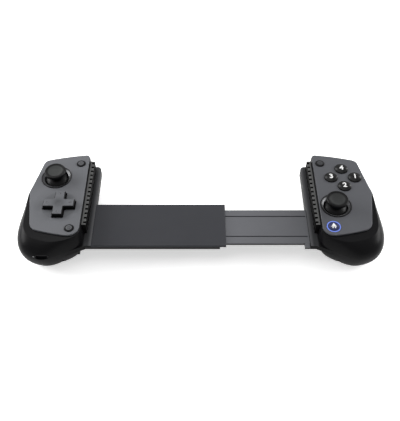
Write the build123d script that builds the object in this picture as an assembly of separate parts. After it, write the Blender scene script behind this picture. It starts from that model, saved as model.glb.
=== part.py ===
from build123d import *
import os
from math import cos, radians, sin, sqrt

os.makedirs("parts", exist_ok=True)

# Two grips, joined by a bridge that slides, hold a phone between them.
# X runs to the right, Y up the face towards the triggers, and Z out of the face.
# The grips lie on their backs, which are at Z = 0.

# Driving sizes of the whole controller, in millimetres
phone_gap = 163.8          # between the tips of the rubber pads
grip_length = 91.4         # heel of the grip to the top corner of its face
grip_depth = 29.0          # face of the grip to its back
plate_width = 40.2         # inner edge of the face plate to its obtuse corner
plate_thickness = 1.2
plate_inset = 0.6          # case's inner wall to the plate's inner edge
swell = 12.3               # how far the grip swells past the face plate
belt_depth = 12.0          # face to the line where the two case halves meet
case_wall = 1.6
deck_thickness = 1.4       # front case half, under the face plate
fit_gap = 0.3              # between pieces that move past each other
seat_gap = 0.2             # round a piece that is set into another
running_fit = 0.05         # radial, between a pin and what turns on it
overrun = 1.0              # how far a cutting body runs past what it cuts

# Rubber pads and the ledge for the phone
pad_depth = 3.3
pad_spine = 1.3
pad_height = 9.6
pad_length = 63.2
pad_tooth_pitch = 4.2
pad_tooth_gap = 1.7
pad_gaps = 15
pad_foot = 43.1            # plate's lower edge to the middle of the pad
ledge_reach = 7.0          # how far the ledge stands in from the case
ledge_thickness = 6.5
ledge_corner = 3.0
ledge_slope = 2.5          # slope under its near end
ledge_foot_in = 4.0        # inner face to the web that leads from the near end into the heel
ledge_foot_run = 13.8
ledge_foot_drop = 6.2

# Flat patch that the grip lies on
rest_width = 21.8
rest_length = 28.1
rest_in = 21.6             # inner edge of the plate to the middle of the patch
rest_up = 13.8             # plate's lower edge to the middle of the patch

# Bridge: a wide sleeve on the left grip and a narrow slide on the right one
bridge_up = 19.4           # plate's lower edge to the middle of the bridge
sleeve_width = 39.2
sleeve_cover_thickness = 1.5
sleeve_thickness = 10.2
sleeve_side = 4.0          # thickness at the sleeve's long edges
sleeve_slope = 8.0         # width of the slope under each long edge
sleeve_reach = 96.2        # left ledge to the free end of the cover
sleeve_setback = 4.3       # how much shorter the tray is than the cover
sleeve_root = 13.8         # how far the tray goes into the left grip
slide_width = 31.0
slide_drop = 2.0           # cover's top to the slide's top
slide_plate_thickness = 1.2
slide_base_thickness = 1.1
slide_overlap = 46.0       # part of the slide inside the sleeve
slide_root = 14.0          # how far the slide goes into the right grip
slide_stop_width = 3.6
slide_stop_length = 3.8
groove_offset = 9.4        # middle of the slide to each groove
groove_width = 0.9
groove_depth = 0.6
bridge_screw_shank = 0.8
bridge_screw_head = 1.4
bridge_screw_head_height = 0.8
sleeve_screw_length = 10.6
slide_screw_length = 6.0
slide_screw_spread = 13.0
bridge_screw_inset = 2.6
bridge_post = 2.0

# Return springs and the flat cable between the grips
spring_outer = 1.7
spring_wall = 0.5
spring_spacing = 14.0      # between the two springs
spring_peg = 0.8
spring_anchor_in = 34.2    # inner edge of the plate to the anchor
spring_anchor_post = 1.4
spring_depth = 19.0        # face to the springs' middle
spring_channel = 4.2
ribbon_width = 8.0
ribbon_thickness = 0.25
ribbon_channel = 9.0
ribbon_fold = 4.0
ribbon_fold_height = 2.6
ribbon_folds = 14

# Thumbsticks
left_stick_in = 22.5       # inner edge of the plate to the stick
left_stick_up = 55.6       # plate's lower edge to the stick
right_stick_in = 12.0
right_stick_up = 27.6
stick_pivot_depth = 8.6
dome_radius = 10.8
dome_wall = 1.1
dome_skirt = 66.0          # degrees from the dome's top to its rim
stick_pad_radius = 7.8
stick_pad_height = 7.3     # face to the cap's rim
stick_pad_thickness = 3.6
stick_pad_slope = 1.5      # height of the slope under the cap's rim
stick_pad_edge = 0.5
stick_dish_radius = 6.4
stick_dish_depth = 0.9
stick_neck = 5.0
ring_outer = 11.2
ring_inner = 8.9
ring_proud = 0.2
ring_bevel = 1.6
ring_lip = 0.2             # upright part of the ring's inner edge
dome_hole = 9.5            # radius of the deck's opening under the ring
frame_outer = 8.0
frame_wall = 1.3
frame_above_pivot = 2.2
cradle_outer = 6.2
cradle_inner = 4.4
cradle_height = 2.6
cradle_pin = 1.0
shaft_radius = 2.0
shaft_hub = 3.2
shaft_pin = 0.8
shaft_above_pivot = 12.8
shaft_below_pivot = 1.6
cap_travel = 0.5

# Circuit boards
board_thickness = 1.2
main_board_depth = 12.0
main_board_width = 24.0
main_board_length = 60.0
main_board_in = 20.4
main_board_up = 32.4
button_board_depth = 8.0
board_post = 1.2           # posts from the deck to the corners of the button board

# Direction pad
dpad_in = 16.7
dpad_up = 27.9
dpad_span = 22.4
dpad_arm = 7.3
dpad_height = 3.0
dpad_base_depth = 4.0
dpad_base_thickness = 1.0
dpad_base_radius = 10.2
dpad_hole_gap = 0.7
dpad_corner = 0.6
dpad_dish_radius = 12.6
dpad_dish_depth = 0.35
dpad_dot = 0.6
dpad_dot_place = 8.4
dpad_centre_dimple = 2.2
dpad_dimple_depth = 0.25
pivot_ball = 1.5
pivot_depth = 5.6
pivot_stem = 0.8
pivot_hub = 2.8
pivot_hub_height = 2.0
pivot_foot = 1.8
pivot_foot_height = 0.5
mat_thickness = 1.0
mat_dome = 2.2
mat_dome_height = 0.6

# Round face buttons
face_button_in = 20.9
face_button_up = 55.2
face_button_spread = 8.9
face_button_radius = 4.75
face_button_height = 1.5
face_button_flange = 0.5
face_button_flange_height = 0.7
face_button_bottom = 4.3

# Small round buttons
small_radius = 3.2
small_height = 0.9
small_flange = 0.6
small_flange_height = 0.7
small_bottom = 4.0
left_top_in = 5.8
left_top_up = 69.8
left_bottom_in = 6.8
left_bottom_up = 6.3
right_top_in = 5.4
right_top_up = 70.0
home_in = 7.7
home_up = 7.8
home_radius = 3.7
home_ring_outer = 4.9
home_ring_proud = 0.15

# Shoulder bay with the bumper and the trigger
bay_in = 11.6              # inner edge of the plate to the side of both bays
bumper_bay_up = 71.4       # plate's lower edge to the back of the bumper's bay
trigger_bay_up = 66.9      # plate's lower edge to the back of the trigger's bay
bay_roof = 2.6             # face to the top of the bumper's bay
bay_divider = 1.0          # wall between the bumper and the trigger
bumper_gap = 0.4
bumper_room = 1.4          # behind the bumper, for its travel
bumper_pivot = 1.2
bumper_pivot_in = 2.4
bumper_pivot_up = 1.8
bumper_stub = 0.7
trigger_gap = 0.6
trigger_length = 21.0
trigger_pin_up = 3.4       # bay's back wall to the pin
trigger_pin_depth = 15.2
trigger_pin_radius = 1.0
trigger_reach = 8.6        # pin to the front of the trigger
trigger_drop = 10.4        # pin to the trigger's lip
trigger_top = 2.2          # pin to the trigger's top
trigger_knuckle = 2.3
# Finger side and inner side of the trigger, as shares of its reach and its drop
trigger_front_shares = [(0.8, 0.0), (1.0, 0.25), (0.86, 0.7), (0.95, 1.0)]
trigger_palm_shares = [(0.66, 1.0), (0.48, 0.5)]
trigger_ear_thickness = 2.0
trigger_ear_inset = 4.2
trigger_spring_length = 5.0
trigger_spring_radius = 1.9

# Battery, charging port and its lamp
battery_width = 17.0
battery_length = 22.0
battery_thickness = 5.0
battery_in = 21.8
battery_up = 13.6
port_in = 25.0
port_depth = 9.7
port_width = 9.0
port_height = 3.3
port_length = 7.4
port_wall = 0.35
port_tongue_width = 6.6
port_tongue_thickness = 0.7
port_tongue_setback = 0.8
port_setback = 11.5        # plate's lower edge down to the port's mouth
lamp_radius = 0.6
lamp_length = 2.6
lamp_offset = 5.6
lamp_setback = 11.5        # plate's lower edge down to the lamp's tip
port_bracket = 0.6

# Case screws
screw_shank = 1.0
screw_head = 1.9
screw_head_height = 1.4
screw_shoulder_depth = 17.0
screw_length = 9.0
screw_post = 2.5
screw_slot_width = 0.5
screw_slot_depth = 0.5
# Places as shares of the plate's width and length, from its inner lower corner
screw_place_shares = [(0.117, 0.56), (0.876, 0.455), (0.34, -0.055)]

# The grip's outline, one station after another, from the top of the inner edge round to its
# foot: place on the face plate as shares of its width and length, swell at the belt line as
# shares of the swell, and place on the rest patch as shares of the patch.
station_shares = [
    (0.0, 0.947, -0.05, 0.0, -0.5, 0.23),
    (0.017, 0.99, -0.04, -0.02, -0.48, 0.31),
    (0.09, 1.0, -0.04, -0.01, -0.43, 0.38),
    (0.383, 0.98, 0.0, -0.01, -0.25, 0.47),
    (0.684, 0.947, 0.0, -0.01, -0.02, 0.5),
    (0.816, 0.906, -0.01, -0.01, 0.17, 0.48),
    (0.868, 0.82, 0.0, 0.0, 0.3, 0.41),
    (0.933, 0.669, 0.02, 0.0, 0.42, 0.31),
    (1.0, 0.511, 0.1, 0.02, 0.49, 0.16),
    (0.958, 0.359, 0.42, 0.03, 0.5, 0.02),
    (0.913, 0.207, 0.69, -0.02, 0.48, -0.12),
    (0.861, 0.121, 0.82, -0.51, 0.42, -0.25),
    (0.731, 0.063, 0.82, -0.99, 0.3, -0.37),
    (0.542, 0.034, 0.78, -1.17, 0.14, -0.46),
    (0.363, 0.01, 0.71, -1.07, -0.04, -0.5),
    (0.194, 0.001, 0.52, -0.7, -0.22, -0.48),
    (0.085, 0.018, 0.22, -0.46, -0.36, -0.43),
    (0.017, 0.063, -0.04, -0.4, -0.45, -0.35),
    (0.0, 0.125, -0.12, -0.28, -0.5, -0.26),
]
front_level_shares = [0.17, 0.38, 0.68, 1.0]
rear_level_shares = [0.0, 0.33, 0.58, 0.78, 0.92, 1.0]

# Corners of the face plate as shares of its width and length, then their radii
plate_corner_shares = [(0.0, -0.013), (0.0, 1.005), (0.833, 0.923), (1.0, 0.512), (0.86, 0.077)]
plate_radii = [8.0, 2.5, 5.0, 3.0, 8.5]
plate_top_bow = 0.85
plate_bottom_bow = 1.0
plate_edge = 0.3

# Places that follow from the sizes above
face_z = grip_depth
belt_z = face_z - belt_depth
deck_top_z = face_z - plate_thickness
deck_z = deck_top_z - deck_thickness
heel_y = -grip_length / 2
plate_y = heel_y + swell
plate_length = grip_length - swell
case_x = phone_gap / 2 + pad_depth
plate_x = case_x + plate_inset
ledge_x = case_x - ledge_reach
bridge_y = plate_y + bridge_up


def write(node, shape):
    """Write one node as a single compound of its solids."""
    solids = shape.solids() if hasattr(shape, "solids") else [shape]
    part = solids[0] if len(solids) == 1 else Compound(children=list(solids))
    part.label = node
    export_step(part, f"parts/{node}.step")


def on_side(shape, side):
    """A piece is drawn for the right grip; the left one is its mirror image."""
    return shape if side > 0 else mirror(shape, about=Plane.YZ)


def block(x0, x1, y0, y1, z0, z1):
    """Box between two corners."""
    return Pos((x0 + x1) / 2, (y0 + y1) / 2, (z0 + z1) / 2) * Box(x1 - x0, y1 - y0, z1 - z0)


def rod(radius, x, y, z0, z1):
    """Upright round bar."""
    return Pos(x, y, (z0 + z1) / 2) * Cylinder(radius, z1 - z0)


def rod_x(radius, x0, x1, y, z):
    """Round bar along X."""
    return Pos((x0 + x1) / 2, y, z) * Rot(0, 90, 0) * Cylinder(radius, x1 - x0)


def rod_y(radius, x, y0, y1, z):
    """Round bar along Y."""
    return Pos(x, (y0 + y1) / 2, z) * Rot(90, 0, 0) * Cylinder(radius, y1 - y0)


def turned(profile, x, y):
    """A profile of (radius, height) points turned about an upright axis."""
    outline = make_face(Plane.XZ * Polyline(*profile, close=True))
    return Pos(x, y, 0) * revolve(outline, Axis.Z, 360)


def on_plate(share_x, share_y):
    """Place on the face plate, from shares of its width and length."""
    return plate_x + share_x * plate_width, plate_y + share_y * plate_length


def outline_at(depth, inset):
    """The grip's outline at a depth below its face, drawn in by a wall."""
    points = []
    rest_x, rest_y = plate_x + rest_in, plate_y + rest_up
    for face_x, face_y, swell_x, swell_y, back_x, back_y in station_shares:
        x, y = on_plate(face_x, face_y)
        if depth <= belt_depth:
            out = swell * sqrt(1 - (1 - depth / belt_depth) ** 2)
            points.append((x + swell_x * out, y + swell_y * out))
        else:
            x, y = x + swell_x * swell, y + swell_y * swell
            fall = (depth - belt_depth) / (grip_depth - inset - belt_depth)
            back = 1 - sqrt(max(0, 1 - fall**2))
            target_x, target_y = rest_x + back_x * rest_width, rest_y + back_y * rest_length
            points.append((x + (target_x - x) * back, y + (target_y - y) * back))
    if inset:
        points = drawn_in(points, inset)
    return points


def drawn_in(points, inset):
    """Each point of a clockwise outline moved inwards, square to its neighbours' line."""
    moved = []
    for before, (x, y), after in zip(points[-1:] + points[:-1], points, points[1:] + points[:1]):
        along = Vector(after[0] - before[0], after[1] - before[1]).normalized()
        moved.append((x + along.Y * inset, y - along.X * inset))
    return moved


def grip_section(depth, inset=0):
    """Flat face with the grip's outline: a straight inner edge and one smooth curve."""
    z = face_z - depth
    points = [(x, y, z) for x, y in outline_at(depth, inset)]
    return make_face(Curve() + [Line(points[-1], points[0]), Spline(*points)])


def front_body(inset=0):
    """Front half of the grip, from just under the face down to the belt line."""
    if inset:
        top = plate_thickness + deck_thickness
        depths = [top + (belt_depth - top) * share for share in (0, *front_level_shares)]
    else:
        depths = [plate_thickness, *(belt_depth * share for share in front_level_shares)]
    return loft([grip_section(depth, inset) for depth in depths])


def rear_body(inset=0):
    """Rear half of the grip, from the belt line down to the flat patch."""
    fall = grip_depth - inset - belt_depth
    return loft([grip_section(belt_depth + fall * share, inset) for share in rear_level_shares])


def on_grip(inwards, upwards):
    """Place in the grip, from the inner edge and the lower edge of its face plate."""
    return plate_x + inwards, plate_y + upwards


def plate_face():
    """The face plate's outline: straight sides, bowed ends and rounded corners."""
    corners = [on_plate(*share) for share in plate_corner_shares]
    foot, top_in, top_out, knee, foot_out = corners
    top_middle = ((top_in[0] + top_out[0]) / 2, (top_in[1] + top_out[1]) / 2 + plate_top_bow)
    foot_middle = ((foot[0] + foot_out[0]) / 2, (foot[1] + foot_out[1]) / 2 - plate_bottom_bow)
    sides = [
        Line(foot, top_in),
        ThreePointArc(top_in, top_middle, top_out),
        Line(top_out, knee),
        Line(knee, foot_out),
        ThreePointArc(foot_out, foot_middle, foot),
    ]
    face = make_face(Curve() + sides)
    for corner, radius in zip(corners, plate_radii):
        near = face.vertices().sort_by_distance((corner[0], corner[1], 0))[0]
        face = fillet(near, radius)
    return face


def cross(span, arm, corner):
    """The direction pad's cross."""
    shape = Rectangle(span, arm) + Rectangle(arm, span)
    return fillet(shape.vertices(), corner)


def bar_at(face, x, y, z0, z1):
    """A flat outline moved to a place and drawn up between two heights."""
    return Pos(x, y, z0) * extrude(face, z1 - z0)


def small_places(side):
    """Places and radii of a grip's two small round buttons."""
    if side < 0:
        return [(*on_grip(left_top_in, left_top_up), small_radius),
                (*on_grip(left_bottom_in, left_bottom_up), small_radius)]
    return [(*on_grip(right_top_in, right_top_up), small_radius),
            (*on_grip(home_in, home_up), home_radius)]


def face_button_places():
    """Right, lower, left and upper round button, in that order."""
    x, y = on_grip(face_button_in, face_button_up)
    spread = face_button_spread
    return [(x + spread, y), (x, y - spread), (x - spread, y), (x, y + spread)]


def stick_place(side):
    if side < 0:
        return on_grip(left_stick_in, left_stick_up)
    return on_grip(right_stick_in, right_stick_up)


def pad_place():
    return on_grip(dpad_in, dpad_up)


def control_cuts(side, stick_hole, z0, z1):
    """Openings for the stick, with its own radius, and for every other control of a grip."""
    x, y = stick_place(side)
    cuts = [rod(stick_hole, x, y, z0, z1)]
    cuts += [rod(radius + fit_gap, x, y, z0, z1) for x, y, radius in small_places(side)]
    if side < 0:
        wide = 2 * dpad_hole_gap
        hole = cross(dpad_span + wide, dpad_arm + wide, dpad_corner)
        cuts.append(bar_at(hole, *pad_place(), z0, z1))
    else:
        for x, y in face_button_places():
            cuts.append(rod(face_button_radius + fit_gap, x, y, z0, z1))
    return cuts


def face_plate(side):
    """Flat plate with the openings for the controls and a shallow dish under the pad."""
    plate = Pos(0, 0, deck_top_z) * extrude(plate_face(), plate_thickness)
    plate = chamfer(plate.faces().sort_by(Axis.Z)[-1].edges(), plate_edge)
    if side < 0:
        x, y = pad_place()
        dish_height = dpad_dish_depth + overrun
        rise = dpad_dish_radius * overrun / dpad_dish_depth
        dish = Cone(dpad_arm, dpad_dish_radius + rise, dish_height)
        plate -= Pos(x, y, face_z - dpad_dish_depth + dish_height / 2) * dish
    if side > 0:
        x, y, radius = small_places(side)[1]
        plate -= rod(home_ring_outer + seat_gap, x, y, deck_top_z - overrun, face_z + overrun)
    return plate - control_cuts(side, ring_outer + seat_gap, deck_top_z - overrun, face_z + overrun)


def bay_box(up, z0, z1, gap=0):
    """Space behind the top edge of the face plate, where a shoulder control sits."""
    x, y = on_grip(bay_in, up)
    far = plate_x + plate_width + swell
    return block(x + gap, far, y + gap, grip_length, z0 + gap, z1 - gap)


def screw_places():
    return [on_plate(*share) for share in screw_place_shares]


def front_shell(side):
    """Front half of the case, with its deck, screw posts and the bumper's bay."""
    solid = front_body()
    shell = solid - front_body(case_wall)
    x, y = on_grip(bay_in, bumper_bay_up)
    far = plate_x + plate_width
    divider_z = belt_z + bay_divider
    roof_z = face_z - bay_roof
    side_wall = block(x - case_wall, x, y - case_wall, grip_length, belt_z, deck_z)
    back_wall = block(x - case_wall, far, y - case_wall, y, belt_z, deck_z)
    floor_y = plate_y + trigger_bay_up - case_wall
    floor = block(x - case_wall, far, floor_y, grip_length, belt_z, divider_z)
    shell += (side_wall + back_wall + floor) & solid
    shell -= bay_box(bumper_bay_up, divider_z, roof_z)
    pad_end = plate_y + pad_foot - pad_length / 2 - seat_gap
    shell -= block(ledge_x, case_x, pad_end, grip_length, belt_z - overrun, face_z)
    for x, y in screw_places():
        shell += rod(screw_post, x, y, belt_z, deck_z + deck_thickness / 2) & solid
        depth = screw_length - (screw_shoulder_depth - belt_depth)
        shell -= rod(screw_shank + running_fit, x, y, belt_z - overrun, belt_z + depth + fit_gap)
    px, py = on_grip(bay_in + bumper_pivot_in, bumper_bay_up + bumper_pivot_up)
    stub = bumper_pivot + running_fit
    shell -= rod(stub, px, py, divider_z - bumper_stub, roof_z + bumper_stub)
    for x, y in board_post_places(side):
        shell += rod(board_post, x, y, face_z - button_board_depth, deck_z + deck_thickness / 2)
    shell -= control_cuts(side, dome_hole, deck_z - overrun, deck_top_z + overrun)
    if side < 0:
        shell -= port_opening()
    return shell


def slot_shape(width, height):
    """Flat-sided oval in the XZ plane."""
    return Plane.XZ * SlotOverall(width, height)


def port_opening():
    """Way in for the charging plug, and the hole for the lamp beside it."""
    x, y = on_grip(port_in, -port_setback)
    z = face_z - port_depth
    room = 2 * seat_gap
    oval = extrude(slot_shape(port_width + room, port_height + room), port_length + overrun, both=True)
    lamp_x, lamp_y = on_grip(port_in + lamp_offset, -lamp_setback)
    lamp = rod_y(lamp_radius + running_fit, lamp_x, lamp_y - overrun, lamp_y + lamp_length, z)
    return Pos(x, y, z) * oval + lamp


def tray_outline(gap=0):
    """The sleeve's lower half seen from its end: flat below, sloped to both long edges."""
    half = sleeve_width / 2 - seat_gap + gap
    top = -sleeve_cover_thickness + gap
    edge, bottom = -sleeve_side - gap, -sleeve_thickness - gap
    inner = half - sleeve_slope
    points = [(-half, top), (-half, edge), (-inner, bottom), (inner, bottom), (half, edge), (half, top)]
    return make_face(Polyline(*points, close=True))


def along_x(outline, x0, x1, z):
    """Outline drawn in (Y, Z) about the bridge's middle, made into a bar along X."""
    frame = Plane(origin=(x0, bridge_y, z), x_dir=(0, 1, 0), z_dir=(1, 0, 0))
    return extrude(frame * outline, x1 - x0, dir=(1, 0, 0))


def rear_shell(side):
    """Rear half of the case, with the phone's ledge, posts and the trigger's ears."""
    solid = rear_body()
    hollow = rear_body(case_wall)
    shell = solid - hollow
    ledge = block(ledge_x, case_x + case_wall, plate_y, grip_length / 2 - overrun,
                  belt_z - ledge_thickness, belt_z)
    corner = ledge.edges().filter_by(Axis.Z).group_by(Axis.X)[0].sort_by(Axis.Y)[-1]
    ledge = fillet(corner, ledge_corner)
    near_edge = ledge.edges().filter_by(Axis.X).group_by(Axis.Z)[0].sort_by(Axis.Y)[0]
    shell += chamfer(near_edge, ledge_slope) - hollow
    shell += ledge_foot() - hollow
    x, y = on_grip(bay_in, trigger_bay_up)
    side_wall = block(x - case_wall, x, y, grip_length, 0, belt_z)
    back_wall = block(x - case_wall, plate_x + plate_width, y - case_wall, y, 0, belt_z)
    shell += (side_wall + back_wall) & solid
    shell -= bay_box(trigger_bay_up, -overrun, belt_z + overrun)
    for ear_x in ear_places():
        shell += trigger_ear(ear_x)
    for x, y in screw_places():
        shell += rod(screw_post, x, y, 0, belt_z) & solid
        shoulder_z = face_z - screw_shoulder_depth
        shell -= rod(screw_shank + seat_gap, x, y, 0, belt_z + overrun)
        shell -= rod(screw_head + seat_gap, x, y, -overrun, shoulder_z)
    if side < 0:
        shell = left_seats(shell, solid)
    else:
        shell = right_seats(shell, solid)
    return shell


def ledge_foot():
    """Web that leads from the ledge's near end into the heel, sloped underneath like the ledge."""
    x, y = ledge_x + ledge_foot_in, plate_y
    far, back = x + ledge_foot_run, y + 2 * ledge_slope
    outline = Polyline((x, y), (far, y - ledge_foot_drop), (far, back), (x, back), close=True)
    web = Pos(0, 0, belt_z - ledge_thickness) * extrude(make_face(outline), ledge_thickness)
    return chamfer(web.edges().group_by(Axis.Z)[0].sort_by(Axis.Y)[0], ledge_slope)


def ear_places():
    """Inner faces of the two ears that hold the trigger's pin."""
    x = plate_x + bay_in + trigger_gap
    far = x + trigger_length
    return [x + trigger_ear_inset, far - trigger_ear_inset - trigger_ear_thickness]


def trigger_pin_place():
    return plate_y + trigger_bay_up + trigger_pin_up, face_z - trigger_pin_depth


def trigger_ear(x):
    """Ear on the bay's back wall, round the trigger's pin."""
    y, z = trigger_pin_place()
    wall_y = plate_y + trigger_bay_up - case_wall
    web = block(x, x + trigger_ear_thickness, wall_y, y, z - trigger_knuckle, z + trigger_knuckle)
    far = x + trigger_ear_thickness
    ear = web + rod_x(trigger_knuckle, x, far, y, z)
    return ear - rod_x(trigger_pin_radius + running_fit / 2, x - overrun, far + overrun, y, z)


def bridge_screw_places(side):
    """Two screws hold each half of the bridge to its grip."""
    if side < 0:
        half, root = sleeve_width / 2 - seat_gap, sleeve_root
        x = ledge_x + root - bridge_screw_inset
        y = half - bridge_screw_inset
    else:
        x = ledge_x + slide_root - bridge_screw_inset
        y = slide_screw_spread
    return [(x, bridge_y - y), (x, bridge_y + y)]


def left_seats(shell, solid):
    """Way in for the sleeve's tray, its posts and the springs' anchors."""
    root_x = ledge_x + sleeve_root
    shell -= along_x(tray_outline(seat_gap), ledge_x - overrun, case_x + case_wall + seat_gap, belt_z)
    half = sleeve_width / 2
    shell -= block(case_x + case_wall, root_x + seat_gap, bridge_y - half, bridge_y + half,
                   belt_z - sleeve_thickness - seat_gap, belt_z + overrun)
    post_z = belt_z - sleeve_thickness
    for x, y in bridge_screw_places(-1):
        shell += rod(bridge_post, x, y, 0, post_z) & solid
        hole_z = post_z + sleeve_thickness - sleeve_cover_thickness - sleeve_screw_length - overrun
        shell -= rod(bridge_screw_shank + running_fit, x, y, hole_z, post_z + overrun)
    anchor_z = face_z - spring_depth + spring_outer
    for y in spring_lines():
        shell += rod(spring_anchor_post, plate_x + spring_anchor_in, y, 0, anchor_z) & solid
    return shell


def right_seats(shell, solid):
    """Way in for the slide, and the posts that it is screwed to."""
    top = belt_z - slide_drop
    depth = slide_plate_thickness + slide_base_thickness
    half = slide_width / 2 + seat_gap
    shell -= block(ledge_x - overrun, case_x + case_wall + overrun, bridge_y - half, bridge_y + half,
                   top - depth - seat_gap, top + seat_gap)
    for x, y in bridge_screw_places(1):
        shell += rod(bridge_post, x, y, 0, top - depth) & solid
        shell -= rod(bridge_screw_shank + running_fit, x, y, top - slide_screw_length - fit_gap, top)
    return shell


def spring_lines():
    return [bridge_y - spring_spacing / 2, bridge_y + spring_spacing / 2]


def phone_pad():
    """Rubber pad with upright teeth, standing on the ledge against the case."""
    z0, z1 = belt_z, belt_z + pad_height
    middle = plate_y + pad_foot
    pad = block(phone_gap / 2, case_x, middle - pad_length / 2, middle + pad_length / 2, z0, z1)
    for number in range(pad_gaps):
        y = middle + (number - (pad_gaps - 1) / 2) * pad_tooth_pitch
        pad -= block(phone_gap / 2 - overrun, case_x - pad_spine, y - pad_tooth_gap / 2,
                     y + pad_tooth_gap / 2, z0 - overrun, z1 + overrun)
    return pad


def stick_ring(side):
    """Collar round the stick's opening, on the deck, with a sloped inner edge."""
    x, y = stick_place(side)
    top = face_z + ring_proud
    profile = [
        (ring_outer, deck_top_z), (ring_outer, top), (ring_inner + ring_bevel, top),
        (ring_inner, deck_top_z + ring_lip), (ring_inner, deck_top_z),
    ]
    return turned(profile, x, y)


def stick_pivot():
    return face_z - stick_pivot_depth


def stick_frame(side):
    """Short tube on the circuit board that carries the cradle's pins."""
    x, y = stick_place(side)
    base = face_z - main_board_depth
    top = stick_pivot() + frame_above_pivot
    frame = rod(frame_outer, x, y, base, top)
    frame -= rod(frame_outer - frame_wall, x, y, base - overrun, top + overrun)
    hole = cradle_pin + running_fit
    return frame - rod_x(hole, x - frame_outer - overrun, x + frame_outer + overrun, y, stick_pivot())


def stick_cradle(side):
    """Ring on two pins along X; the stick's shaft turns in it on pins along Y."""
    x, y = stick_place(side)
    z = stick_pivot()
    ring = rod(cradle_outer, x, y, z - cradle_height / 2, z + cradle_height / 2)
    ring += rod_x(cradle_pin, x - frame_outer, x + frame_outer, y, z)
    ring -= rod(cradle_inner, x, y, z - cradle_height, z + cradle_height)
    return ring - rod_y(shaft_pin + running_fit, x, y - cradle_outer, y + cradle_outer, z)


def stick_shaft(side):
    """Upright shaft with a round hub and cross pins."""
    x, y = stick_place(side)
    z = stick_pivot()
    shaft = rod(shaft_radius, x, y, z - shaft_below_pivot, z + shaft_above_pivot)
    shaft += rod(shaft_hub, x, y, z - cradle_height / 2, z + cradle_height / 2)
    return shaft + rod_y(shaft_pin, x, y - cradle_outer + running_fit, y + cradle_outer - running_fit, z)


def stick_cap(side):
    """Hollow dome, stout neck and dished thumb pad in one moulding."""
    x, y = stick_place(side)
    z = stick_pivot()
    top = face_z + stick_pad_height
    dome = Sphere(dome_radius) - Sphere(dome_radius - dome_wall)
    rim = dome_radius * cos(radians(dome_skirt))
    dome -= Pos(0, 0, rim - dome_radius) * Box(4 * dome_radius, 4 * dome_radius, 2 * dome_radius)
    neck_foot = z + sqrt(dome_radius**2 - stick_neck**2) - dome_wall / 2
    neck_top = top - stick_pad_thickness
    profile = [
        (0, neck_foot), (stick_neck, neck_foot), (stick_neck, neck_top),
        (stick_pad_radius, neck_top + stick_pad_slope), (stick_pad_radius, top - stick_pad_edge),
        (stick_pad_radius - stick_pad_edge, top), (0, top),
    ]
    cap = Pos(x, y, z) * dome + turned(profile, x, y)
    ball = (stick_dish_radius**2 + stick_dish_depth**2) / (2 * stick_dish_depth)
    cap -= Pos(x, y, top - stick_dish_depth + ball) * Sphere(ball)
    bore_top = z + shaft_above_pivot + cap_travel + fit_gap
    return cap - rod(shaft_radius + running_fit, x, y, z, bore_top)


def main_board(side):
    """Circuit board across the grip, under the stick's frame."""
    x, y = on_grip(main_board_in, main_board_up)
    z = face_z - main_board_depth
    board = block(x - main_board_width / 2, x + main_board_width / 2,
                  y - main_board_length / 2, y + main_board_length / 2, z - board_thickness, z)
    if side > 0:
        sx, sy = stick_place(side)
        board += rod(frame_outer, sx, sy, z - board_thickness, z)
    return board


def button_board(side):
    """Small circuit board under the rubber mat."""
    x, y = mat_place(side)
    z = face_z - button_board_depth
    half = mat_half()
    board = block(x - half, x + half, y - half, y + half, z - board_thickness, z)
    if side < 0:
        board -= rod(pivot_stem + 2 * fit_gap, x, y, z - 2 * board_thickness, z + overrun)
    return board


def mat_place(side):
    """Middle of a grip's rubber mat."""
    return pad_place() if side < 0 else on_grip(face_button_in, face_button_up)


def mat_half():
    """Half the width of a square rubber mat."""
    return dpad_base_radius + mat_thickness


def board_post_places(side):
    """Posts that hold the button board down at its corners."""
    x, y = mat_place(side)
    reach = mat_half() - board_post - seat_gap
    return [(x + turn_x * reach, y + turn_y * reach) for turn_x in (-1, 1) for turn_y in (-1, 1)]


def rubber_mat(side):
    """Square rubber mat, notched at its corners, with a dome under each arm or button."""
    z = face_z - button_board_depth
    half = mat_half()
    x, y = mat_place(side)
    reach = dpad_dot_place
    places = [(x + reach, y), (x, y - reach), (x - reach, y), (x, y + reach)]
    if side > 0:
        places = face_button_places()
    notch = 2 * (board_post + seat_gap)
    mat = bar_at(cross(2 * half, 2 * (half - notch), dpad_corner), x, y, z, z + mat_thickness)
    for dome_x, dome_y in places:
        mat += rod(mat_dome, dome_x, dome_y, z, z + mat_thickness + mat_dome_height)
    if side < 0:
        mat -= rod(pivot_foot + seat_gap, x, y, z - overrun, z + mat_thickness + overrun)
    return mat


def dpad():
    """Cross with a round base, and a hub round the ball that it rocks on."""
    x, y = pad_place()
    z = face_z - dpad_base_depth
    shape = Pos(0, 0, z) * extrude(cross(dpad_span, dpad_arm, dpad_corner), dpad_base_depth + dpad_height)
    shape = chamfer(shape.faces().sort_by(Axis.Z)[-1].edges(), dpad_corner)
    shape += rod(dpad_base_radius, 0, 0, z - dpad_base_thickness, z)
    hub_z = face_z - pivot_depth
    shape += rod(pivot_hub, 0, 0, hub_z - pivot_ball / 2, z)
    top = face_z + dpad_height
    dimple_ball = (dpad_centre_dimple**2 + dpad_dimple_depth**2) / (2 * dpad_dimple_depth)
    shape -= Pos(0, 0, top - dpad_dimple_depth + dimple_ball) * Sphere(dimple_ball)
    for turn in range(4):
        mark = Rot(0, 0, 90 * turn) * Pos(dpad_dot_place, 0, top)
        shape -= mark * Sphere(dpad_dot)
    shape -= Pos(0, 0, hub_z) * Sphere(pivot_ball + running_fit)
    mouth = Cone(pivot_ball, pivot_stem + fit_gap, pivot_hub_height)
    shape -= Pos(0, 0, hub_z - pivot_hub_height / 2) * mouth
    return Pos(x, y, 0) * shape


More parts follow.
